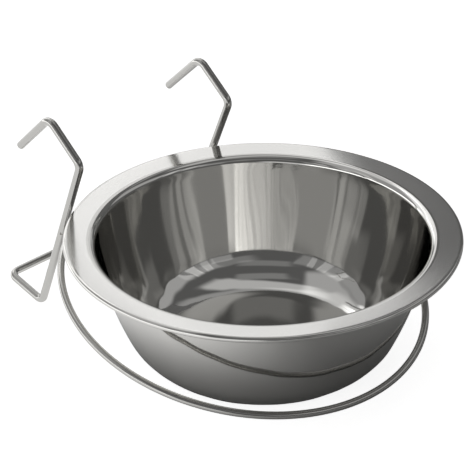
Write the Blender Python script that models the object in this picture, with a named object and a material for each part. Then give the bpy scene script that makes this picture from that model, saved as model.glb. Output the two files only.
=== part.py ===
"""Round steel feed bowl with a wide flat rim, and the bent wire holder that hangs it on a cage.

The origin is the middle of the bowl's base, on the surface that it stands on. +Z is up and
+Y points at the cage. The holder is drawn with its ring level under the rim, which is where it
carries the bowl, and is then swung down about one line to stand on its own feet, leaning on
the rim. All lengths are in metres and all angles in degrees.
"""

import cmath
import math

import bmesh
import bpy
from mathutils import Matrix, Vector

# Bowl, pressed from one sheet
RIM_RADIUS = 0.080
SHEET = 0.0007
BOWL_DEPTH = 0.056
FLANGE_WIDTH = 0.010
FLANGE_DISH = 7.5
HEM_RADIUS = 0.0012
ROUND_OVER_RADIUS = 0.0034
WALL_LEAN = 10.0
WALL_BULGE_RADIUS = 0.170
CORNER_RADIUS = 0.023

# Ring that carries the rim
RING_WIRE = 0.003
RING_PLAY = 0.007
SEAM_LENGTH = 0.0022
SEAM_SWELL = 0.00025

# Bracket, bent from one wire: hook, leg, foot, cross bar, foot, leg, hook
LEG_WIRE = 0.0035
HALF_SPAN = 0.0425
LEG_LEAN = 9.9
LEG_ABOVE_RING = 0.0388
FOOT_ABOVE_BASE = 0.0065
HOOK_REACH = 0.0235
HOOK_RISE = 27.0
TIP_LENGTH = 0.0281
TIP_DROP = 55.4
FOOT_LENGTH = 0.0225
HOOK_BEND = 0.0045
SHOULDER_BEND = 0.004
FOOT_BEND = 0.004
CROSS_BEND = 0.004

# Spot welds between the ring and the legs
WELD_BEAD = 0.0007

# Fits and resting place
GAP = 0.0003
RIM_GAP = 0.0005
SEAT_GAP = 0.0005
SEAT_SIDE_GAP = 0.0008
RING_FRONT_HEIGHT = 0.0095

# Fineness of the round shapes
TURNS = 72
ARC_STEP = 15.0
HEM_STEPS = 8
WALL_STEPS = 4
CORNER_STEPS = 6
ROUND_OVER_STEPS = 4
WELD_STEPS = 24
SIDES = 3


def clear_scene():
    for thing in list(bpy.data.objects):
        bpy.data.objects.remove(thing, do_unlink=True)


def steel(name, shade, roughness):
    """Bare steel: grey shade, fully metallic."""
    material = bpy.data.materials.new(name)
    material.use_nodes = True
    shader = material.node_tree.nodes["Principled BSDF"]
    shader.inputs["Base Color"].default_value = (shade, shade, shade, 1)
    shader.inputs["Metallic"].default_value = 1
    shader.inputs["Roughness"].default_value = roughness
    material.diffuse_color = (shade, shade, shade, 1)
    return material


def put(name, data, material, parent=None):
    thing = bpy.data.objects.new(name, data)
    bpy.context.scene.collection.objects.link(thing)
    data.materials.append(material)
    thing.parent = parent
    return thing


# ---- bowl profile, in the plane of radius and height, height 0 at the top of the hem ----


def upright(slope):
    """The direction square to the sheet, on its upper side, where it falls inwards at slope."""
    return Vector((-math.sin(slope), math.cos(slope)))


def inwards(slope):
    return Vector((-math.cos(slope), -math.sin(slope)))


def arc(centre, radius, start, end, steps):
    """Points at radius from centre, along the sheet's upright from slope start to slope end."""
    slopes = [start + (end - start) * i / steps for i in range(steps + 1)]
    return [centre + radius * upright(slope) for slope in slopes]


def bowl_centres():
    """The arcs that the sheet is bent round: hem, round-over, wall and corner, and their slopes."""
    dish = math.radians(FLANGE_DISH)
    steep = math.radians(90 - WALL_LEAN)
    hem = Vector((RIM_RADIUS - HEM_RADIUS, -HEM_RADIUS))
    hem_top = hem + HEM_RADIUS * upright(dish)
    run = (hem_top.x - (RIM_RADIUS - FLANGE_WIDTH)) / math.cos(dish)
    flange_end = hem_top + run * inwards(dish)
    round_over = flange_end - ROUND_OVER_RADIUS * upright(dish)
    wall_inside = WALL_BULGE_RADIUS - SHEET
    corner_inside = CORNER_RADIUS - SHEET
    wall = round_over + (ROUND_OVER_RADIUS + wall_inside) * upright(steep)
    floor = SHEET - BOWL_DEPTH
    turn = math.acos((wall.y - corner_inside - floor) / (wall_inside - corner_inside))
    corner = wall - (wall_inside - corner_inside) * upright(turn)
    return dish, steep, turn, hem, round_over, wall, corner


def bowl_outline():
    """From the middle of the inside floor, up, over the hem and down to the middle of the base."""
    dish, steep, turn, hem, round_over, wall, corner = bowl_centres()
    inside = [Vector((0, SHEET - BOWL_DEPTH))]
    inside += arc(corner, SHEET - CORNER_RADIUS, 0, turn, CORNER_STEPS)
    inside += arc(wall, SHEET - WALL_BULGE_RADIUS, turn, steep, WALL_STEPS)[1:]
    inside += arc(round_over, ROUND_OVER_RADIUS, steep, dish, ROUND_OVER_STEPS)[1:]

    neck = HEM_RADIUS - SHEET
    under = math.sqrt(HEM_RADIUS**2 - neck**2)
    under_angle = math.pi - math.atan2(neck, under) + dish
    top_angle = math.pi / 2 + dish
    hem_turn = 2 * math.pi - (under_angle - top_angle)
    rolled = []
    for i in range(HEM_STEPS + 1):
        angle = top_angle - hem_turn * i / HEM_STEPS
        rolled.append(hem + HEM_RADIUS * Vector((math.cos(angle), math.sin(angle))))

    outside = arc(round_over, ROUND_OVER_RADIUS - SHEET, dish, steep, ROUND_OVER_STEPS)
    outside += arc(wall, -WALL_BULGE_RADIUS, steep, turn, WALL_STEPS)[1:]
    outside += arc(corner, -CORNER_RADIUS, turn, 0, CORNER_STEPS)[1:]
    outside.append(Vector((0, -BOWL_DEPTH)))
    return inside + rolled + outside


def bowl_mesh():
    """The outline turned once round the upright axis."""
    shape = bmesh.new()
    points = [shape.verts.new((p.x, 0, p.y + BOWL_DEPTH)) for p in bowl_outline()]
    edges = [shape.edges.new(pair) for pair in zip(points, points[1:])]
    bmesh.ops.spin(shape, geom=points + edges, cent=(0, 0, 0), axis=(0, 0, 1),
                   angle=2 * math.pi, steps=TURNS, use_merge=True)
    bmesh.ops.remove_doubles(shape, verts=shape.verts, dist=1e-6)
    bmesh.ops.recalc_face_normals(shape, faces=shape.faces)
    mesh = bpy.data.meshes.new("bowl")
    shape.to_mesh(mesh)
    shape.free()
    mesh.shade_smooth()
    mesh.set_sharp_from_angle(angle=math.radians(40))
    return mesh


# ---- holder, in its own frame: the ring's middle is the origin and the ring is level ----


def neck_radius():
    """The bowl's outer radius where the wall meets the round-over."""
    _, steep, _, _, round_over, _, _ = bowl_centres()
    return (round_over + (ROUND_OVER_RADIUS - SHEET) * upright(steep)).x


def carrying_height():
    """The ring's height above the bowl's base, where it carries the hem."""
    return BOWL_DEPTH - 2 * HEM_RADIUS - SEAT_GAP - RING_WIRE / 2


def leg_distance(ring, clear, lean):
    """How far behind the middle a leg at HALF_SPAN passes, clear of a round wire of radius ring.

    The leg leans, so the level distance is longer than the clear one square to both wires."""
    cosine = math.sqrt(1 - (HALF_SPAN / ring) ** 2)
    level = ring + clear * math.sqrt(1 + (math.tan(lean) * cosine) ** 2)
    return math.sqrt(level**2 - HALF_SPAN**2)


def rounded_path(corners, bend_radii):
    """Straight runs from corner to corner, with each inner corner turned as an arc."""
    points = [corners[0]]
    for before, corner, after, radius in zip(corners, corners[1:], corners[2:], bend_radii):
        into = (corner - before).normalized()
        out = (after - corner).normalized()
        turn = into.angle(out)
        start = corner - into * radius * math.tan(turn / 2)
        across = (out - into * into.dot(out)).normalized()
        steps = math.ceil(math.degrees(turn) / ARC_STEP)
        for i in range(steps + 1):
            angle = turn * i / steps
            bend = into * math.sin(angle) + across * (1 - math.cos(angle))
            points.append(start + radius * bend)
    points.append(corners[-1])
    return points


def wire(name, points, diameter, material, parent, closed=False):
    """Round wire along points, with flat cut ends unless it is closed."""
    curve = bpy.data.curves.new(name, "CURVE")
    curve.dimensions = "3D"
    curve.bevel_depth = diameter / 2
    curve.bevel_resolution = SIDES
    curve.use_fill_caps = not closed
    spline = curve.splines.new("POLY")
    spline.use_cyclic_u = closed
    spline.points.add(len(points) - 1)
    for target, point in zip(spline.points, points):
        target.co = (*point, 1)
    spline.use_smooth = True
    return put(name, curve, material, parent)


def side_corners():
    """One side of the bracket as (back, up) pairs: tip, peak, shoulder, foot and cross bar."""
    lean = math.tan(math.radians(LEG_LEAN))
    shoulder = Vector((LEG_Y - LEG_ABOVE_RING * lean, LEG_ABOVE_RING))
    rise = math.radians(HOOK_RISE)
    drop = math.radians(TIP_DROP)
    peak = shoulder + HOOK_REACH * Vector((math.cos(rise), math.sin(rise)))
    tip = peak + TIP_LENGTH * Vector((math.cos(drop), -math.sin(drop)))
    leg_below_ring = carrying_height() - FOOT_ABOVE_BASE
    foot = Vector((LEG_Y + leg_below_ring * lean, -leg_below_ring))
    cross = foot + Vector((FOOT_LENGTH, 0))
    return [tip, peak, shoulder, foot, cross]


def foot_bend_centre():
    """The middle of the arc that the foot is bent round, as (back, up)."""
    _, _, shoulder, foot, cross = side_corners()
    up = (shoulder - foot).normalized()
    back = (cross - foot).normalized()
    half = up.angle(back) / 2
    return foot + (up + back).normalized() * FOOT_BEND / math.sin(half)


def rest_tilt():
    """The tilt, in radians, that puts the ring's front at RING_FRONT_HEIGHT with the feet down.

    The ring's front is over the bend's middle by a sine and a cosine of the tilt, which add up
    to one cosine, and the bend's middle is over the surface by its own radius and the wire's."""
    bend = foot_bend_centre()
    front_to_bend = complex(-bend.y, bend.x + RING_RADIUS)
    fall = RING_FRONT_HEIGHT - LEG_WIRE / 2 - FOOT_BEND
    return math.acos(fall / abs(front_to_bend)) - cmath.phase(front_to_bend)


def resting_place():
    """The ring's middle, as back + up j, with the feet on the surface and the legs on the rim."""
    tilt = rest_tilt()
    lean = math.radians(LEG_LEAN) + tilt
    bend = foot_bend_centre()
    up = LEG_WIRE / 2 + FOOT_BEND - (bend.x * math.sin(tilt) + bend.y * math.cos(tilt))
    touch_height = BOWL_DEPTH - HEM_RADIUS
    below = touch_height - (up + LEG_Y * math.sin(tilt))
    clear = LEG_WIRE / 2 + HEM_RADIUS + RIM_GAP
    touch = leg_distance(RIM_RADIUS - HEM_RADIUS, clear, lean)
    back = touch + below * math.tan(lean) - LEG_Y * math.cos(tilt)
    return complex(back, up)


def carrying_place():
    """The ring's middle, as back + up j, with the ring level under the hem and the legs behind."""
    lean = math.radians(LEG_LEAN)
    up = carrying_height()
    clear = LEG_WIRE / 2 + HEM_RADIUS + SEAT_SIDE_GAP
    touch = leg_distance(RIM_RADIUS - HEM_RADIUS, clear, lean)
    below = BOWL_DEPTH - HEM_RADIUS - up
    return complex(touch + below * math.tan(lean) - LEG_Y, up)


def swing_line():
    """The one line about which the rest tilt turns the holder from one place to the other."""
    swing = cmath.rect(1, -rest_tilt())
    return (carrying_place() - swing * resting_place()) / (1 - swing)


def weld_path(side):
    """Round the crossing of ring and leg, where two wires thicker by a gap and a bead would meet.

    A point on it is b along the ring's own height and c out from the ring's middle line, and
    then as far along the ring as keeps the same distance from the leg."""
    leg_axis = Vector((0, -math.sin(math.radians(LEG_LEAN)), math.cos(math.radians(LEG_LEAN))))
    leg_point = Vector((side * HALF_SPAN, LEG_Y, 0))
    outward = leg_point.normalized()
    ring_point = outward * RING_RADIUS
    along = Vector((outward.y, -outward.x, 0))
    out = along.cross(leg_axis).normalized()
    out = out if out.dot(outward) > 0 else -out
    up = out.cross(along)
    ways = Matrix((along, out, -leg_axis)).transposed()
    shift, apart, _ = ways.inverted() @ (leg_point - ring_point)
    centre = ring_point + along * shift
    bead = WELD_BEAD / 2
    ring_reach = RING_WIRE / 2 + GAP + bead
    leg_reach = LEG_WIRE / 2 + GAP + bead
    high = math.sqrt(ring_reach**2 - (apart - leg_reach) ** 2)
    points = []
    for i in range(WELD_STEPS):
        angle = 2 * math.pi * i / WELD_STEPS
        b = high * math.sin(angle)
        c = math.sqrt(ring_reach**2 - b**2)
        aside = math.sqrt(max(0, leg_reach**2 - (apart - c) ** 2))
        aside = math.copysign(aside, math.cos(angle))
        a = (aside + b * leg_axis.dot(along)) / leg_axis.dot(up)
        points.append(centre + a * along + b * up + c * out)
    return points


def seam_mesh():
    """The bead that closes the ring: a round swelling, its middle at the back of the ring."""
    shape = bmesh.new()
    half = SEAM_LENGTH / 2 - GAP
    swell = RING_WIRE / 2 + SEAM_SWELL
    size = Matrix.Diagonal((half, swell, swell, 1)) @ Matrix.Rotation(math.pi / 2, 4, "Y")
    bmesh.ops.create_uvsphere(shape, u_segments=16, v_segments=8, radius=1, matrix=size)
    bmesh.ops.recalc_face_normals(shape, faces=shape.faces)
    mesh = bpy.data.meshes.new("ring_seam_weld")
    shape.to_mesh(mesh)
    shape.free()
    mesh.shade_smooth()
    return mesh


RING_RADIUS = neck_radius() + RING_PLAY + RING_WIRE / 2
LEG_Y = leg_distance(
    RING_RADIUS, RING_WIRE / 2 + LEG_WIRE / 2 + GAP, math.radians(LEG_LEAN)
)

clear_scene()
polished = steel("polished_stainless_sheet", 0.72, 0.12)
bright_wire = steel("bright_steel_wire", 0.62, 0.2)
weld_metal = steel("weld_metal", 0.5, 0.4)

put("bowl", bowl_mesh(), polished)

hinge = bpy.data.objects.new("holder_hinge", None)
bpy.context.scene.collection.objects.link(hinge)
line = swing_line()
hinge.location = (0, line.real, line.imag)
hinge.rotation_euler = (rest_tilt(), 0, 0)

# The holder's pieces keep their origins on the swing line.
place = carrying_place() - line
middle = Vector((0, place.real, place.imag))

ring_points = []
open_angle = SEAM_LENGTH / 2 / RING_RADIUS
for i in range(TURNS + 1):
    angle = open_angle + (2 * math.pi - 2 * open_angle) * i / TURNS
    spoke = Vector((math.sin(angle), math.cos(angle), 0))
    ring_points.append(middle + RING_RADIUS * spoke)
wire("carrier_ring", ring_points, RING_WIRE, bright_wire, hinge)

half = side_corners()
corners = [Vector((-HALF_SPAN, p.x, p.y)) for p in half]
corners += [Vector((HALF_SPAN, p.x, p.y)) for p in reversed(half)]
bends = [HOOK_BEND, SHOULDER_BEND, FOOT_BEND, CROSS_BEND]
bracket_points = rounded_path(corners, bends + bends[::-1])
wire("hook_bracket", [middle + p for p in bracket_points], LEG_WIRE, bright_wire, hinge)

for name, side in (("left_leg_weld", -1), ("right_leg_weld", 1)):
    bead_points = [middle + p for p in weld_path(side)]
    wire(name, bead_points, WELD_BEAD, weld_metal, hinge, closed=True)

seam = seam_mesh()
seam.transform(Matrix.Translation(middle + Vector((0, RING_RADIUS, 0))))
put("ring_seam_weld", seam, weld_metal, hinge)
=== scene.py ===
"""Steel feed bowl with a wide spun flange, standing in the bent wire holder that hangs it on a cage.

The pieces are made in the order in which the real one goes together: the bowl from sheet, the
ring and the hook bracket from wire, and the welds that join them. Lengths are in metres and
angles in degrees. +Z is up, +Y points at the cage, and the bowl stands on the height 0.
"""

import math

import bpy
import numpy as np
from mathutils import Matrix


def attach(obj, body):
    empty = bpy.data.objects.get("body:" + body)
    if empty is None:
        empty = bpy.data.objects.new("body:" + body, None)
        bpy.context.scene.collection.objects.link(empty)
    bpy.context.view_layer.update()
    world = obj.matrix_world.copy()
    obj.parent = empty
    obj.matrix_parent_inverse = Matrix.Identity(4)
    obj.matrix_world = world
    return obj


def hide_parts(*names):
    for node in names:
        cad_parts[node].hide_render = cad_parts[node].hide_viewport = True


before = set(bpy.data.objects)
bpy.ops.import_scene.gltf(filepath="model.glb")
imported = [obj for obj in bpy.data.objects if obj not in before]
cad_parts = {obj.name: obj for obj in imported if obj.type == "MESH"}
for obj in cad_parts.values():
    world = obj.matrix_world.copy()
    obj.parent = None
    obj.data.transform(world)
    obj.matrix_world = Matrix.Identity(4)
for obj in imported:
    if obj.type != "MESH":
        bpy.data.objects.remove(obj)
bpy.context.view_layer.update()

# ---- Camera ----
# A long lens on the bowl's near left, a little under 30 degrees up and turned by a degree.

CAMERA_TURN = 45.16
CAMERA_RISE = 29.36
CAMERA_ROLL = -0.95
CAMERA_DISTANCE = 0.580
CAMERA_LENS = 110.6
AIM_HEIGHT = 0.0553
AIM_LEFT = 0.01102
AIM_DOWN = 0.00198

turn, rise, roll = np.radians([CAMERA_TURN, CAMERA_RISE, CAMERA_ROLL])
away = np.array([-math.sin(turn) * math.cos(rise), -math.cos(turn) * math.cos(rise), math.sin(rise)])
level_right = np.array([math.cos(turn), -math.sin(turn), 0])
level_up = np.cross(away, level_right)
right = math.cos(roll) * level_right + math.sin(roll) * level_up
up = math.cos(roll) * level_up - math.sin(roll) * level_right
place = np.array([0, 0, AIM_HEIGHT]) + CAMERA_DISTANCE * away - AIM_LEFT * right - AIM_DOWN * up

camera = bpy.data.objects.new("camera", bpy.data.cameras.new("camera"))
camera.data.lens = CAMERA_LENS
camera.matrix_world = Matrix((*np.column_stack([right, up, away, place]), (0, 0, 0, 1)))
bpy.context.scene.collection.objects.link(camera)
bpy.context.scene.camera = camera

# ---- Bowl ----
# One stainless sheet, deep drawn and then turned on a spindle: polished like a mirror inside and
# out, with a wide flange left finely ringed by the tool and its edge rolled under as a hem.

RIM_RADIUS = 0.080
SHEET = 0.0007
BOWL_DEPTH = 0.056
FLANGE_WIDTH = 0.010
FLANGE_DISH = 7.5
HEM_RADIUS = 0.0012
ROUND_OVER_RADIUS = 0.0034
WALL_LEAN = 10.0
WALL_BULGE_RADIUS = 0.170
CORNER_RADIUS = 0.023
WALL_WAVE = 0.00042
BOWL_TURNS = 440
FLOOR_POINTS = 30
CORNER_STEPS = 26
WALL_STEPS = 40
ROUND_OVER_STEPS = 12
FLANGE_POINTS = 14
HEM_POINTS = 27
NECK_STEPS = 10


def linear(code):
    """Hex sRGB to linear: a channel plus 0.055, over 1.055, to the power 2.4; the darkest over 12.92."""
    channels = np.array([int(code[i:i + 2], 16) / 255 for i in (1, 3, 5)])
    bright = ((channels + 0.055) / 1.055) ** 2.4
    return (*np.where(channels > 0.04045, bright, channels / 12.92), 1)


def add_node(tree, kind, settings=(), **links):
    """A node of a kind with its settings, and its inputs by name, each set to a value or linked."""
    node = tree.nodes.new(kind)
    for name, value in dict(settings).items():
        setattr(node, name, value)
    for name, value in links.items():
        numbered = name[1:].isdigit()
        socket = node.inputs[int(name[1:]) if numbered else name.replace("_", " ")]
        if isinstance(value, bpy.types.NodeSocket):
            tree.links.new(value, socket)
        else:
            socket.default_value = value
    return node


def upright(slopes):
    """The way square to the sheet, on its upper side, where it falls inwards: minus sine, cosine."""
    return np.stack([-np.sin(slopes), np.cos(slopes)], axis=-1)


def sheet_arc(centre, radius, start, end, steps):
    """Points at radius from centre along the upright, as the slope runs evenly from start to end."""
    return centre + radius * upright(np.linspace(start, end, steps + 1))


def bowl_outline():
    """Radius and height of the section, from the middle of the floor over the hem to the base's.

    Floor, corner arc, wall arc, round-over arc, flange and hem circle, then back by the same arcs
    a sheet lower."""
    dish, steep = np.radians([FLANGE_DISH, 90 - WALL_LEAN])
    hem = np.array([RIM_RADIUS - HEM_RADIUS, BOWL_DEPTH - HEM_RADIUS])
    hem_top = hem + HEM_RADIUS * upright(dish)
    run = (hem_top[0] - (RIM_RADIUS - FLANGE_WIDTH)) / math.cos(dish)
    flange_end = hem_top - run * np.array([math.cos(dish), math.sin(dish)])
    round_over = flange_end - ROUND_OVER_RADIUS * upright(dish)
    wall_inside = WALL_BULGE_RADIUS - SHEET
    corner_inside = CORNER_RADIUS - SHEET
    wall = round_over + (ROUND_OVER_RADIUS + wall_inside) * upright(steep)
    bend = math.acos((wall[1] - corner_inside - SHEET) / (wall_inside - corner_inside))
    corner = wall - (wall_inside - corner_inside) * upright(bend)
    floor = np.linspace([0.0, SHEET], [corner[0], SHEET], FLOOR_POINTS)
    inside = np.concatenate([
        floor, sheet_arc(corner, -corner_inside, 0, bend, CORNER_STEPS)[1:],
        sheet_arc(wall, -wall_inside, bend, steep, WALL_STEPS)[1:],
        sheet_arc(round_over, ROUND_OVER_RADIUS, steep, dish, ROUND_OVER_STEPS)[1:],
        np.linspace(flange_end, hem_top, FLANGE_POINTS)[1:],
    ])
    neck = HEM_RADIUS - SHEET
    full_turn = 2 * math.pi - math.pi / 2 - math.acos(neck / HEM_RADIUS)
    way_round = math.pi / 2 + dish - np.linspace(0, full_turn, HEM_POINTS)
    rolled = hem + HEM_RADIUS * np.stack([np.cos(way_round), np.sin(way_round)], axis=-1)
    outside = np.concatenate([
        sheet_arc(round_over, ROUND_OVER_RADIUS - SHEET, dish, steep, NECK_STEPS),
        sheet_arc(wall, -WALL_BULGE_RADIUS, steep, bend, 30)[1:],
        sheet_arc(corner, -CORNER_RADIUS, bend, 0, 22)[1:],
        np.linspace([corner[0], 0.0], [0.0, 0.0], 14)[1:],
    ])
    return inside, rolled[1:], outside


def closed_grid_faces(rows, columns):
    """Quads between neighbouring rows of a grid whose columns run once round and meet."""
    row, column = np.meshgrid(np.arange(rows - 1), np.arange(columns), indexing="ij")
    first = row * columns + column
    second = row * columns + (column + 1) % columns
    return np.stack([first, second, second + columns, first + columns], axis=-1).reshape(-1, 4)


def add_mesh(name, points, faces, materials, material_of_face=0):
    """An object at the origin from points and faces of equal length, or from a list of such arrays."""
    groups = faces if isinstance(faces, list) else [faces]
    corners = np.concatenate([group.ravel() for group in groups])
    sizes = np.concatenate([np.full(len(group), group.shape[1]) for group in groups])
    mesh = bpy.data.meshes.new(name)
    mesh.vertices.add(len(points))
    mesh.vertices.foreach_set("co", np.asarray(points, np.float32).ravel())
    mesh.loops.add(len(corners))
    mesh.loops.foreach_set("vertex_index", corners.astype(np.int32))
    mesh.polygons.add(len(sizes))
    mesh.polygons.foreach_set("loop_start", np.concatenate([[0], np.cumsum(sizes)[:-1]]).astype(np.int32))
    for material in materials:
        mesh.materials.append(material)
    material_numbers = np.broadcast_to(material_of_face, len(sizes))
    mesh.polygons.foreach_set("material_index", material_numbers.astype(np.int32))
    mesh.update(calc_edges=True)
    mesh.shade_smooth()
    piece = bpy.data.objects.new(name, mesh)
    bpy.context.scene.collection.objects.link(piece)
    return piece


def sheet_waves(section, inside_rows, angles):
    """How far the sheet stands proud at each point: a sum of cosines round the bowl.

    Each cosine runs a whole number of times round, and turns further the deeper it is. They are
    strongest halfway up the wall, fade to nothing at the flange and the floor, and are the same
    on both sides of the sheet."""
    draws = np.random.default_rng(7)
    depth = section[:, 1, None] / BOWL_DEPTH
    on_wall = np.clip((section[:, 0, None] - 0.030) / 0.022, 0, 1) * np.clip((1 - depth) / 0.12, 0, 1)
    total = np.zeros((len(section), len(angles)))
    for count in (3, 5, 8, 13, 19, 27, 38):
        phase, drift, bow = draws.uniform(-1, 1, 3)
        total += np.cos(count * angles + 6 * phase + 2.5 * drift * depth + 3 * bow * depth**2) / count
    turned_in = np.where(np.arange(len(section)) < inside_rows, 1.0, -1.0)[:, None]
    return WALL_WAVE * total * on_wall * on_wall * turned_in


inside, rolled, outside = bowl_outline()
outline = np.concatenate([inside, rolled, outside])
way_along = np.gradient(outline, axis=0)
way_along /= np.linalg.norm(way_along, axis=1, keepdims=True)
square = np.stack([-way_along[:, 1], way_along[:, 0]], axis=-1)
angles = np.linspace(0, 2 * np.pi, BOWL_TURNS, endpoint=False)
wave = sheet_waves(outline[1:-1], len(inside) - 1, angles)
radius = outline[1:-1, 0, None] + wave * square[1:-1, 0, None]
height = outline[1:-1, 1, None] + wave * square[1:-1, 1, None]
grid = np.stack([radius * np.cos(angles), radius * np.sin(angles), height], axis=-1)
rows = len(grid)
points = np.concatenate([grid.reshape(-1, 3), [[0, 0, SHEET], [0, 0, 0]]])
top, base = rows * BOWL_TURNS, rows * BOWL_TURNS + 1
ring = np.arange(BOWL_TURNS)
following = (ring + 1) % BOWL_TURNS
last_row = (rows - 1) * BOWL_TURNS
floor_fan = np.stack([np.full(BOWL_TURNS, top), ring, following], axis=-1)
base_fan = np.stack([np.full(BOWL_TURNS, base), last_row + following, last_row + ring], axis=-1)
quads = closed_grid_faces(rows, BOWL_TURNS)[:, ::-1]


def metal(name, colour, roughness):
    """A new metal with its tree, its shader and a socket for points in the object's own millimetres."""
    material = bpy.data.materials.new(name)
    material.use_nodes = True
    tree = material.node_tree
    shader = tree.nodes["Principled BSDF"]
    shader.inputs["Base Color"].default_value = linear(colour)
    shader.inputs["Metallic"].default_value = 1.0
    shader.inputs["Roughness"].default_value = roughness
    spot = add_node(tree, "ShaderNodeTexCoord")
    in_mm = add_node(tree, "ShaderNodeVectorMath", {"operation": "SCALE"},
                     _0=spot.outputs["Object"], Scale=1000.0)
    return material, tree, shader, in_mm.outputs[0]


def turned_marks(tree, in_mm, spacing):
    """Fine rings round the upright axis, one every spacing in millimetres: noise of distance plus height."""
    level = add_node(tree, "ShaderNodeVectorMath", {"operation": "MULTIPLY"}, _0=in_mm, _1=(1, 1, 0))
    distance = add_node(tree, "ShaderNodeVectorMath", {"operation": "LENGTH"}, _0=level.outputs[0])
    height = add_node(tree, "ShaderNodeSeparateXYZ", _0=in_mm)
    rings = add_node(tree, "ShaderNodeMath", {"operation": "ADD"},
                     _0=distance.outputs["Value"], _1=height.outputs["Z"])
    return add_node(tree, "ShaderNodeTexNoise", {"noise_dimensions": "1D"},
                    W=rings.outputs[0], Scale=1 / spacing, Detail=3.0, Roughness=0.6)


# Buffed 304 stainless mirrors the room, darker each time it mirrors itself. The buffing wheel leaves
# faint rings and cloudy patches that are a little duller; rings this fine are drawn 0.35 mm apart.
polished, tree, shader, in_mm = metal("mirror_polished_stainless_sheet", "#D6D5D2", 0.05)
rings = turned_marks(tree, in_mm, 0.35)
clouds = add_node(tree, "ShaderNodeTexNoise", Vector=in_mm, Scale=0.045, Detail=5.0, Roughness=0.62)
dullness = add_node(tree, "ShaderNodeMath", {"operation": "MULTIPLY_ADD"},
                    _0=clouds.outputs["Fac"], _1=0.09, _2=0.004)
ring_dullness = add_node(tree, "ShaderNodeMath", {"operation": "MULTIPLY_ADD"},
                         _0=rings.outputs["Fac"], _1=0.035, _2=dullness.outputs[0])
relief = add_node(tree, "ShaderNodeBump", Strength=0.05, Distance=0.00002, Height=rings.outputs["Fac"])
tree.links.new(ring_dullness.outputs[0], shader.inputs["Roughness"])
tree.links.new(relief.outputs["Normal"], shader.inputs["Normal"])

# The flange is left as the scouring pad turns it: satin, whiter, with rings 0.25 mm apart that drag
# each reflection out along the radius.
spun, tree, shader, in_mm = metal("spun_satin_stainless_flange", "#EDECE9", 0.32)
shader.inputs["Anisotropic"].default_value = 0.7
shader.inputs["Anisotropic Rotation"].default_value = 0.25
round_about = add_node(tree, "ShaderNodeTangent", {"direction_type": "RADIAL", "axis": "Z"})
rings = turned_marks(tree, in_mm, 0.25)
dullness = add_node(tree, "ShaderNodeMath", {"operation": "MULTIPLY_ADD"},
                    _0=rings.outputs["Fac"], _1=0.10, _2=0.08)
tint = add_node(tree, "ShaderNodeMix", {"data_type": "RGBA"}, _0=rings.outputs["Fac"])
tint.inputs[6].default_value = linear("#DDDCD9")
tint.inputs[7].default_value = linear("#F6F5F3")
relief = add_node(tree, "ShaderNodeBump", Strength=0.12, Distance=0.00003, Height=rings.outputs["Fac"])
tree.links.new(tint.outputs[2], shader.inputs["Base Color"])
tree.links.new(round_about.outputs["Tangent"], shader.inputs["Tangent"])
tree.links.new(dullness.outputs[0], shader.inputs["Roughness"])
tree.links.new(relief.outputs["Normal"], shader.inputs["Normal"])

flange_start = FLOOR_POINTS + CORNER_STEPS + WALL_STEPS + ROUND_OVER_STEPS - 1
row_of_face = np.arange(len(quads)) // BOWL_TURNS
on_flange = (row_of_face >= flange_start) & (row_of_face < flange_start + FLANGE_POINTS - 2)
material_of_face = np.concatenate([on_flange, np.zeros(2 * BOWL_TURNS, bool)])
bowl = add_mesh("polished_bowl", points, [quads, floor_fan, base_fan], [polished, spun], material_of_face)
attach(bowl, "bowl")
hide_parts("bowl")

# ---- Carrier ring ----
# One length of bright drawn steel wire, rolled to a ring that the bowl drops through as far as its
# hem, and closed by a butt weld at the back. At rest it hangs low round the bowl, tilted forwards.

RING_WIRE = 0.003
RING_PLAY = 0.007
SEAM_LENGTH = 0.0022
GAP = 0.0003
LEG_WIRE = 0.0035
HALF_SPAN = 0.0425
LEG_LEAN = math.radians(9.9)
RING_MIDDLE = np.array([0, 0.009986, 0.027307])
REST_TILT = math.radians(13.4988)
RING_STEPS = 480
WIRE_SIDES = 36
TURNED_EDGE = 0.12
EDGE_ROWS = 5
STREAKS_PER_METRE = 100

neck_radius = outside[NECK_STEPS, 0]
ring_radius = neck_radius + RING_PLAY + RING_WIRE / 2


def tilted(points):
    """Points from the holder's own frame, with its ring level, to where it rests."""
    x, y, z = np.moveaxis(np.asarray(points, float), -1, 0)
    c, s = math.cos(REST_TILT), math.sin(REST_TILT)
    return RING_MIDDLE + np.stack([x, c * y - s * z, s * y + c * z], axis=-1)


def wire_surface(path, radius, sides=WIRE_SIDES, first_side=(0, 0, 1)):
    """A tube round a path: each point plus radius times cosine of one side way plus sine of the other.

    The side ways are carried along without twisting, turned only by the path's bends."""
    way = np.gradient(path, axis=0)
    way /= np.linalg.norm(way, axis=1, keepdims=True)
    side = np.empty_like(path)
    carried = np.asarray(first_side, float)
    for i, along in enumerate(way):
        carried = carried - along * carried.dot(along)
        carried /= np.linalg.norm(carried)
        side[i] = carried
    other = np.cross(way, side)
    angle = np.linspace(0, 2 * np.pi, sides, endpoint=False)
    reach = np.broadcast_to(radius, len(path))[:, None, None]
    ring = np.cos(angle)[None, :, None] * side[:, None] + np.sin(angle)[None, :, None] * other[:, None]
    return path[:, None] + reach * ring


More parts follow.
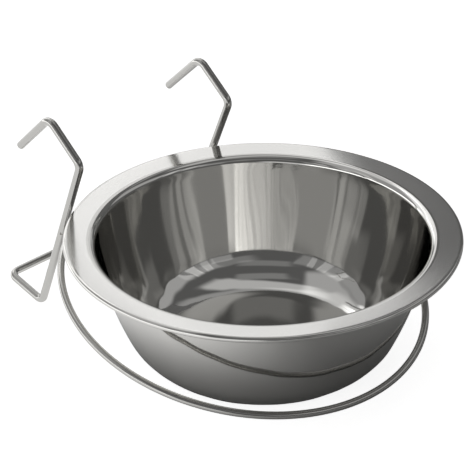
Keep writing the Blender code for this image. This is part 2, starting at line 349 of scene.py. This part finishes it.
def add_wire(name, path, radius, materials, sides=WIRE_SIDES, first_side=(0, 0, 1)):
    """A wire of round section, its ends closed and their edges turned by a quarter of a circle."""
    edge = TURNED_EDGE * radius
    quarter = np.linspace(0, np.pi / 2, EDGE_ROWS)
    length = np.linalg.norm(path[1] - path[0]), np.linalg.norm(path[-1] - path[-2])
    start_way = (path[0] - path[1]) / length[0]
    end_way = (path[-1] - path[-2]) / length[1]
    path = np.concatenate([
        path[0] + start_way * (edge * np.sin(quarter[::-1, None]) - edge),
        path[1:-1],
        path[-1] + end_way * (edge * np.sin(quarter[:, None]) - edge),
    ])
    reach = np.full(len(path), radius)
    reach[:EDGE_ROWS] -= edge * (1 - np.cos(quarter[::-1]))
    reach[-EDGE_ROWS:] -= edge * (1 - np.cos(quarter))
    surface = wire_surface(path, reach, sides, first_side)
    rows = len(path)
    points = np.concatenate([surface.reshape(-1, 3), path[[0, -1]]])
    ring = np.arange(sides)
    following = (ring + 1) % sides
    last_row = (rows - 1) * sides
    caps = [np.stack([np.full(sides, rows * sides), following, ring], axis=-1),
            np.stack([np.full(sides, rows * sides + 1), last_row + ring, last_row + following], axis=-1)]
    piece = add_mesh(name, points, [closed_grid_faces(rows, sides), *caps], materials)
    run = np.concatenate([[0], np.cumsum(np.linalg.norm(np.diff(path, axis=0), axis=1))])
    row, side = np.meshgrid(np.arange(rows - 1), np.arange(sides), indexing="ij")
    across = np.stack([side, side + 1, side + 1, side], axis=-1) / sides
    along = STREAKS_PER_METRE * run[np.stack([row, row, row + 1, row + 1], axis=-1)]
    around = np.stack([across, along], axis=-1).reshape(-1, 2)
    layer = piece.data.uv_layers.new(name="wire")
    on_ends = np.zeros((6 * sides, 2))
    layer.data.foreach_set("uv", np.concatenate([around, on_ends]).astype(np.float32).ravel())
    return piece


# Bright drawn low-carbon wire under a thin chrome plate: it mirrors in long streaks, because the die
# draws fine lines along it, and its plate is mottled by a few hundredths of gloss.
bright_wire, tree, shader, in_mm = metal("bright_drawn_steel_wire", "#BDBCB9", 0.14)
along_wire = add_node(tree, "ShaderNodeUVMap", {"uv_map": "wire"})
die_lines = add_node(tree, "ShaderNodeMapping", {"vector_type": "POINT"}, Vector=along_wire.outputs[0],
                     Scale=(90.0, 8.0, 1.0))
drawn = add_node(tree, "ShaderNodeTexNoise", Vector=die_lines.outputs[0], Scale=1.0, Detail=3.0,
                 Roughness=0.55)
mottle = add_node(tree, "ShaderNodeTexNoise", Vector=in_mm, Scale=0.35, Detail=3.0, Roughness=0.6)
plate_dullness = add_node(tree, "ShaderNodeMath", {"operation": "MULTIPLY_ADD"},
                          _0=mottle.outputs["Fac"], _1=0.16, _2=0.02)
line_dullness = add_node(tree, "ShaderNodeMath", {"operation": "MULTIPLY_ADD"},
                         _0=drawn.outputs["Fac"], _1=0.10, _2=plate_dullness.outputs[0])
relief = add_node(tree, "ShaderNodeBump", Strength=0.15, Distance=0.00003, Height=drawn.outputs["Fac"])
tree.links.new(line_dullness.outputs[0], shader.inputs["Roughness"])
tree.links.new(relief.outputs["Normal"], shader.inputs["Normal"])

half_gap = SEAM_LENGTH / 2 / ring_radius
round_ring = np.linspace(half_gap, 2 * np.pi - half_gap, RING_STEPS + 1)
level_ring = ring_radius * np.stack([np.sin(round_ring), np.cos(round_ring), 0 * round_ring], axis=-1)
carrier_ring = add_wire("rolled_carrier_ring", tilted(level_ring), RING_WIRE / 2, [bright_wire])
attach(carrier_ring, "holder")
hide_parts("carrier_ring")

# ---- Hook bracket ----
# One thicker wire bent to hook, leg, foot, cross bar, foot, leg and hook. The hooks go over a cage
# wire, and the feet and cross bar keep the bowl off the cage, or stand it up as here.

LEG_ABOVE_RING = 0.0388
FOOT_ABOVE_BASE = 0.0065
HOOK_REACH = 0.0235
HOOK_RISE = math.radians(27.0)
TIP_LENGTH = 0.0281
TIP_DROP = math.radians(55.4)
FOOT_LENGTH = 0.0225
HOOK_BEND = 0.0045
SHOULDER_BEND = 0.004
FOOT_BEND = 0.004
CROSS_BEND = 0.004
CARRYING_HEIGHT = 0.0516

# The leg stands off the ring by both wires' radii and the gap, square to both.
across = math.sqrt(1 - (HALF_SPAN / ring_radius) ** 2)
stand_off = (RING_WIRE + LEG_WIRE) / 2 + GAP
level_reach = ring_radius + stand_off * math.sqrt(1 + (math.tan(LEG_LEAN) * across) ** 2)
leg_y = math.sqrt(level_reach**2 - HALF_SPAN**2)


def bent_path(corners, radii, straight_step=0.0006, arc_step=math.radians(3)):
    """Straight runs between corners, with each inner corner turned as an arc of its radius.

    An arc starts radius times the tangent of half the turn before its corner."""
    pieces = []
    here = corners[0]
    for before, corner, after, radius in zip(corners, corners[1:], corners[2:], radii):
        into = (corner - before) / np.linalg.norm(corner - before)
        out = (after - corner) / np.linalg.norm(after - corner)
        turn = math.acos(into @ out)
        start = corner - into * radius * math.tan(turn / 2)
        sideways = (out - into * (into @ out)) / math.sin(turn)
        steps = math.ceil(np.linalg.norm(start - here) / straight_step)
        pieces.append(np.linspace(here, start, steps, endpoint=False))
        angle = np.linspace(0, turn, math.ceil(turn / arc_step) + 1)[:, None]
        pieces.append((start + radius * (into * np.sin(angle) + sideways * (1 - np.cos(angle))))[:-1])
        here = start + radius * (into * math.sin(turn) + sideways * (1 - math.cos(turn)))
    steps = math.ceil(np.linalg.norm(corners[-1] - here) / straight_step)
    pieces.append(np.linspace(here, corners[-1], steps + 1))
    return np.concatenate(pieces)


lean = math.tan(LEG_LEAN)
leg_below_ring = CARRYING_HEIGHT - FOOT_ABOVE_BASE
shoulder = np.array([leg_y - LEG_ABOVE_RING * lean, LEG_ABOVE_RING])
peak = shoulder + HOOK_REACH * np.array([math.cos(HOOK_RISE), math.sin(HOOK_RISE)])
tip = peak + TIP_LENGTH * np.array([math.cos(TIP_DROP), -math.sin(TIP_DROP)])
foot = np.array([leg_y + leg_below_ring * lean, -leg_below_ring])
cross = foot + np.array([FOOT_LENGTH, 0])
half = np.array([tip, peak, shoulder, foot, cross])
corners = np.concatenate([
    np.column_stack([np.full(5, -HALF_SPAN), half]),
    np.column_stack([np.full(5, HALF_SPAN), half[::-1]]),
])
bends = [HOOK_BEND, SHOULDER_BEND, FOOT_BEND, CROSS_BEND]
bracket_path = tilted(bent_path(corners, bends + bends[::-1]))
bracket = add_wire("bent_hook_bracket", bracket_path, LEG_WIRE / 2, [bright_wire], first_side=(1, 0, 0))
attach(bracket, "holder")
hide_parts("hook_bracket")

# ---- Leg welds ----
# Two resistance welds, one where each leg crosses the ring outside it. The wires sink a little into
# each other between the electrodes, and a collar of squeezed steel, dulled by heat, fills the corner.

WELD_HALF_WIDTH = 0.0021
WELD_WAIST = 0.00125
WELD_SQUASH = 0.72
WELD_HALF_DEPTH = 0.00042
WELD_SIDES = 64
WELD_ROWS = 33

weld_metal, tree, shader, in_mm = metal("heat_dulled_weld_steel", "#A9A6A1", 0.35)
scale_spots = add_node(tree, "ShaderNodeTexNoise", Vector=in_mm, Scale=2.2, Detail=4.0, Roughness=0.65)
tint = add_node(tree, "ShaderNodeMix", {"data_type": "RGBA"}, _0=scale_spots.outputs["Fac"])
tint.inputs[6].default_value = linear("#77736E")
tint.inputs[7].default_value = linear("#CBC9C5")
dullness = add_node(tree, "ShaderNodeMath", {"operation": "MULTIPLY_ADD"},
                    _0=scale_spots.outputs["Fac"], _1=0.3, _2=0.2)
relief = add_node(tree, "ShaderNodeBump", Strength=0.4, Distance=0.00006, Height=scale_spots.outputs["Fac"])
tree.links.new(tint.outputs[2], shader.inputs["Base Color"])
tree.links.new(dullness.outputs[0], shader.inputs["Roughness"])
tree.links.new(relief.outputs["Normal"], shader.inputs["Normal"])


def weld_collar(side):
    """A collar between ring and leg: a spool that widens with the square of the way from its waist.

    Its axis is square to both wires, and it is squashed square to the ring. Its ends are pulled
    round each wire by the drop of a circle: radius less the root of radius squared less the way
    across squared. Its edge ripples nine times round, and four."""
    leg_way = np.array([0, -math.sin(LEG_LEAN), math.cos(LEG_LEAN)])
    leg_point = np.array([side * HALF_SPAN, leg_y, 0])
    spoke = leg_point / np.linalg.norm(leg_point)
    ring_way = np.array([spoke[1], -spoke[0], 0])
    apart = np.cross(ring_way, leg_way)
    apart /= np.linalg.norm(apart)
    apart *= np.sign(apart @ spoke)
    shift = np.linalg.solve(np.column_stack([ring_way, apart, -leg_way]), leg_point - ring_radius * spoke)
    middle = ring_radius * spoke + shift[0] * ring_way + (RING_WIRE / 2 + GAP / 2) * apart
    square_way = np.cross(apart, ring_way)
    height = np.linspace(-1, 1, WELD_ROWS)[:, None]
    angle = np.linspace(0, 2 * np.pi, WELD_SIDES, endpoint=False)
    ripple = 1 + 0.05 * np.cos(9 * angle + side) + 0.04 * np.cos(4 * angle + 2)
    width = (WELD_WAIST + (WELD_HALF_WIDTH - WELD_WAIST) * height**2) * ripple
    a, b = width * np.cos(angle), WELD_SQUASH * width * np.sin(angle)
    ring_drop = RING_WIRE / 2 - np.sqrt(np.maximum((RING_WIRE / 2) ** 2 - b**2, 0))
    leg_drop = LEG_WIRE / 2 - np.sqrt(np.maximum((LEG_WIRE / 2) ** 2 - a**2, 0))
    rise = WELD_HALF_DEPTH * height + np.where(height > 0, height * leg_drop, height * ring_drop)
    spool = middle + a[..., None] * ring_way + b[..., None] * square_way + rise[..., None] * apart
    ends = middle + WELD_HALF_DEPTH * np.array([[-1.0], [1.0]]) * apart
    return np.concatenate([spool.reshape(-1, 3), ends])


def add_spool(name, points, rows, sides, materials):
    """A closed piece from rows of points round it and one point at each end."""
    ring = np.arange(sides)
    following = (ring + 1) % sides
    last_row = (rows - 1) * sides
    caps = [np.stack([np.full(sides, rows * sides), following, ring], axis=-1),
            np.stack([np.full(sides, rows * sides + 1), last_row + ring, last_row + following], axis=-1)]
    return add_mesh(name, points, [closed_grid_faces(rows, sides), *caps], materials)


for side, place_name in ((-1, "left"), (1, "right")):
    collar_points = tilted(weld_collar(side))
    collar = add_spool(place_name + "_weld_collar", collar_points, WELD_ROWS, WELD_SIDES, [weld_metal])
    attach(collar, "holder")
    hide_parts(place_name + "_leg_weld")

# ---- Ring seam ----
# A butt weld closes the ring at the back: the ends upset into a low collar with a fin left by the
# trimming, as dull as the other welds.

SEAM_SWELL = 0.00025
SEAM_TUCK = 0.00002
SEAM_LAP = 0.0003
SEAM_ROWS = 49

seam_run = np.linspace(-1, 1, SEAM_ROWS)
seam_reach = RING_WIRE / 2 + SEAM_SWELL * (1 - seam_run**2) ** 0.5 * (0.82 + 0.18 * np.cos(9 * seam_run))
seam_reach[[0, -1]] = RING_WIRE / 2 - SEAM_TUCK
seam_turn = seam_run * (SEAM_LENGTH / 2 + SEAM_LAP) / ring_radius
seam_path = ring_radius * np.stack([np.sin(seam_turn), np.cos(seam_turn), 0 * seam_turn], axis=-1)
seam_surface = wire_surface(tilted(seam_path), seam_reach, WIRE_SIDES)
seam_points = np.concatenate([seam_surface.reshape(-1, 3), tilted(seam_path)[[0, -1]]])
seam = add_spool("butt_weld_seam", seam_points, SEAM_ROWS, WIRE_SIDES, [weld_metal])
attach(seam, "holder")
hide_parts("ring_seam_weld")

# ---- Floor and light ----
# A white, matt studio floor under soft boxes, with a pleated window behind the bowl. The near side
# of the room stays dim, so that the steel has something dark to mirror.

FLOOR_HALF = 8.0
FLOOR_LEFTWARDS = (-0.707, 0.707, 0)
ROOM = 0.12
BOX_DISTANCE = 2.5
BOX_GROWTH = 1.3
EDGE_FADE = 0.45
PLEATS = 18
PLEAT_STEP = 4.6

# The floor glows white in the view. What the steel mirrors is greyer, and a glow painted on it stands in for
# light and shade:
# painted light that is brightest to the left, and a painted shadow that makes it dark near the bowl.

floor_paper = bpy.data.materials.new("pale_matt_studio_floor")
floor_paper.use_nodes = True
tree = floor_paper.node_tree
tree.nodes.clear()
spot = add_node(tree, "ShaderNodeTexCoord")
beside = add_node(tree, "ShaderNodeVectorMath", {"operation": "LENGTH"}, _0=spot.outputs["Object"])
# Painted shadow: the mirrored glow falls to nothing between 100 and 46 mm from the bowl's middle.
outside_painted_bowl_shadow = add_node(tree, "ShaderNodeMapRange", {"interpolation_type": "SMOOTHSTEP"},
                         Value=beside.outputs["Value"], From_Min=0.046, From_Max=0.100)
# Painted light: the mirrored glow rises from 0.07 on the right to 0.85 on the left.
leftwards = add_node(tree, "ShaderNodeVectorMath", {"operation": "DOT_PRODUCT"},
                     _0=spot.outputs["Object"], _1=FLOOR_LEFTWARDS)
fade = add_node(tree, "ShaderNodeMapRange", {"interpolation_type": "SMOOTHSTEP"},
                Value=leftwards.outputs["Value"], From_Min=-0.05, From_Max=0.10, To_Min=0.07, To_Max=0.85)
paper = add_node(tree, "ShaderNodeBsdfDiffuse", Color=linear("#E4E4E4"), Roughness=1.0)
glow = add_node(tree, "ShaderNodeEmission", Color=linear("#FFFFFF"), Strength=0.85)
lit = add_node(tree, "ShaderNodeAddShader", _0=paper.outputs[0], _1=glow.outputs[0])
painted_light_and_shadow = add_node(tree, "ShaderNodeMath", {"operation": "MULTIPLY"},
                  _0=fade.outputs[0], _1=outside_painted_bowl_shadow.outputs[0])
# The painted light and shadow, glowing on the floor only where the steel mirrors it.
painted_light_glow = add_node(tree, "ShaderNodeEmission", Color=linear("#FFFFFF"), Strength=painted_light_and_shadow.outputs[0])
dim_paper = add_node(tree, "ShaderNodeBsdfDiffuse", Color=linear("#AFAFAF"), Roughness=1.0)
mirrored = add_node(tree, "ShaderNodeAddShader", _0=dim_paper.outputs[0], _1=painted_light_glow.outputs[0])
ray = add_node(tree, "ShaderNodeLightPath")
seen = add_node(tree, "ShaderNodeMixShader",
                _0=ray.outputs["Is Camera Ray"], _1=mirrored.outputs[0], _2=lit.outputs[0])
add_node(tree, "ShaderNodeOutputMaterial", Surface=seen.outputs[0])
floor_corners = FLOOR_HALF * np.array([[-1, -1, 0], [1, -1, 0], [1, 1, 0], [-1, 1, 0]])
floor = add_mesh("pale_floor", floor_corners, np.array([[0, 1, 2, 3]]), [floor_paper])

bpy.context.scene.view_settings.view_transform = "Standard"

# Azimuth from +Y towards +X, rise, width and height in degrees as seen from the bowl, and radiance.
SOFT_BOXES = [
    ("left_low", 307, 8, 86, 15, 1.8),
    ("near_left_low", 245, 8, 36, 14, 0.6),
    ("back_left_middle", 334, 30, 46, 24, 0.26),
    ("window_side", 1, 29, 12, 22, 0.75),
    ("right_near_low", 190, 27, 16, 12, 0.22),
    ("right_near_middle", 190, 38, 44, 14, 0.12),
    ("near_high", 230, 48, 34, 12, 0.12),
    ("overhead_near", 225, 79, 26, 14, 0.14),
    ("back_left_high", 335, 58, 56, 28, 0.36),
    ("back_high", 40, 58, 60, 22, 0.25),
    ("overhead", 70, 79, 50, 20, 0.45),
    ("right_low", 65, 4, 60, 8, 0.3),
    ("back_low", 8, 10, 36, 16, 1.0),
]
# Tall strips stand to both sides, bright and dim by turns, and break up the side walls of the bowl.
for azimuth, wide, radiance in (
    (119, 50, 0.33), (148, 7, 0.13), (156, 8, 0.50), (164, 7, 0.16), (172, 8, 0.36), (180, 7, 0.14),
    (262, 8, 0.16), (271, 8, 0.34), (280, 8, 0.12), (289, 9, 0.38), (299, 8, 0.20), (308, 9, 0.32),
):
    SOFT_BOXES.append(("strip_%d" % azimuth, azimuth, 32, wide, 22, radiance))
# A pleated curtain hangs in the window behind the bowl: each second pleat is dimmer, and they fade
# rightwards.
for pleat in range(PLEATS):
    dim = 0.72 if pleat % 2 else 1.0
    falling = 1.45 * math.exp(-pleat / 13)
    azimuth = 10 + PLEAT_STEP * pleat
    SOFT_BOXES.append(("pleat_%02d" % pleat, azimuth, 30, PLEAT_STEP + 0.02, 34, dim * falling))


def fade_edges(box, fade_sides):
    """Light that falls off towards the edges: a smooth step of the way in from top and bottom, and
    from the sides where asked."""
    box.use_nodes = True
    tree = box.node_tree
    emission = tree.nodes["Emission"]
    across = add_node(tree, "ShaderNodeNewGeometry")
    sides = add_node(tree, "ShaderNodeSeparateXYZ", _0=across.outputs["Parametric"])
    steps = []
    for side in ("X", "Y") if fade_sides else ("Y",):
        off_middle = add_node(tree, "ShaderNodeMath", {"operation": "SUBTRACT"},
                              _0=sides.outputs[side], _1=0.5)
        off = add_node(tree, "ShaderNodeMath", {"operation": "ABSOLUTE"}, _0=off_middle.outputs[0])
        steps.append(add_node(tree, "ShaderNodeMapRange", {"interpolation_type": "SMOOTHSTEP"},
                              Value=off.outputs[0], From_Min=0.5, From_Max=0.5 - EDGE_FADE / 2))
    level = steps[0].outputs[0]
    if fade_sides:
        both = add_node(tree, "ShaderNodeMath", {"operation": "MULTIPLY"}, _0=level, _1=steps[1].outputs[0])
        level = both.outputs[0]
    tree.links.new(level, emission.inputs["Strength"])


for name, azimuth, rise, wide, tall, radiance in SOFT_BOXES:
    sharp_sides = name.startswith(("pleat", "strip"))
    if not sharp_sides:
        wide *= BOX_GROWTH
    tall *= BOX_GROWTH
    azimuth, rise, wide, tall = np.radians([azimuth, rise, wide, tall])
    size = 2 * BOX_DISTANCE * np.tan([wide / 2, tall / 2])
    box = bpy.data.lights.new(name, "AREA")
    box.shape = "RECTANGLE"
    box.size, box.size_y = size
    box.energy = radiance * math.pi * size[0] * size[1]
    fade_edges(box, not sharp_sides)
    lamp = bpy.data.objects.new(name, box)
    lamp.visible_camera = False
    flat = math.cos(rise)
    out = np.array([flat * math.sin(azimuth), flat * math.cos(azimuth), math.sin(rise)])
    level = np.array([math.cos(azimuth), -math.sin(azimuth), 0])
    ways = np.column_stack([level, np.cross(out, level), out, BOX_DISTANCE * out])
    lamp.matrix_world = Matrix((*ways, (0, 0, 0, 1)))
    bpy.context.scene.collection.objects.link(lamp)

# A grey flag, cut to an L and hardly lit, keeps the window off the right of the flange. It is seen in
# first reflections only, so that the window still shows in the wall. A low stool shows in all.
FLAG_AHEAD = 0.30
FLAG_PANELS = [(0.035, 0.35, 0.197, 0.45), (0.085, 0.35, 0.05, 0.197)]
STOOL_PANEL = (0.09, 0.20, 0.0, 0.215)

ahead = np.array([math.sin(turn), math.cos(turn), 0])


def hang_flag(name, panels, first_only):
    """Upright panels facing the bowl, each from its left, right, low and high edge beyond the bowl."""
    cloth = bpy.data.materials.new(name + "_cloth")
    cloth.use_nodes = True
    tree = cloth.node_tree
    shader = tree.nodes["Principled BSDF"]
    shader.inputs["Base Color"].default_value = linear("#9A9A9A")
    if first_only:
        ray = add_node(tree, "ShaderNodeLightPath")
        later = add_node(tree, "ShaderNodeMath", {"operation": "GREATER_THAN"},
                         _0=ray.outputs["Ray Depth"], _1=1.5)
        clear = add_node(tree, "ShaderNodeBsdfTransparent")
        cut = add_node(tree, "ShaderNodeMixShader",
                       _0=later.outputs[0], _1=shader.outputs[0], _2=clear.outputs[0])
        tree.links.new(cut.outputs[0], tree.nodes["Material Output"].inputs["Surface"])
    corners = [FLAG_AHEAD * ahead + side * level_right + np.array([0, 0, high])
               for left, far_right, low, top in panels
               for side, high in ((left, low), (far_right, low), (far_right, top), (left, top))]
    flag = add_mesh(name, np.array(corners), [np.arange(len(corners)).reshape(-1, 4)], [cloth])
    flag.visible_camera = False
    flag.visible_diffuse = False
    flag.visible_shadow = False


hang_flag("dark_flag", FLAG_PANELS, True)
hang_flag("dark_stool", [STOOL_PANEL], False)

world = bpy.data.worlds.new("studio_room")
world.use_nodes = True
tree = world.node_tree
tree.nodes.clear()
room = add_node(tree, "ShaderNodeBackground", Color=linear("#FFFFFF"), Strength=ROOM)
backdrop = add_node(tree, "ShaderNodeBackground", Color=linear("#FFFFFF"), Strength=1.0)
ray = add_node(tree, "ShaderNodeLightPath")
seen = add_node(tree, "ShaderNodeMixShader",
                _0=ray.outputs["Is Camera Ray"], _1=room.outputs[0], _2=backdrop.outputs[0])
add_node(tree, "ShaderNodeOutputWorld", Surface=seen.outputs[0])
bpy.context.scene.world = world
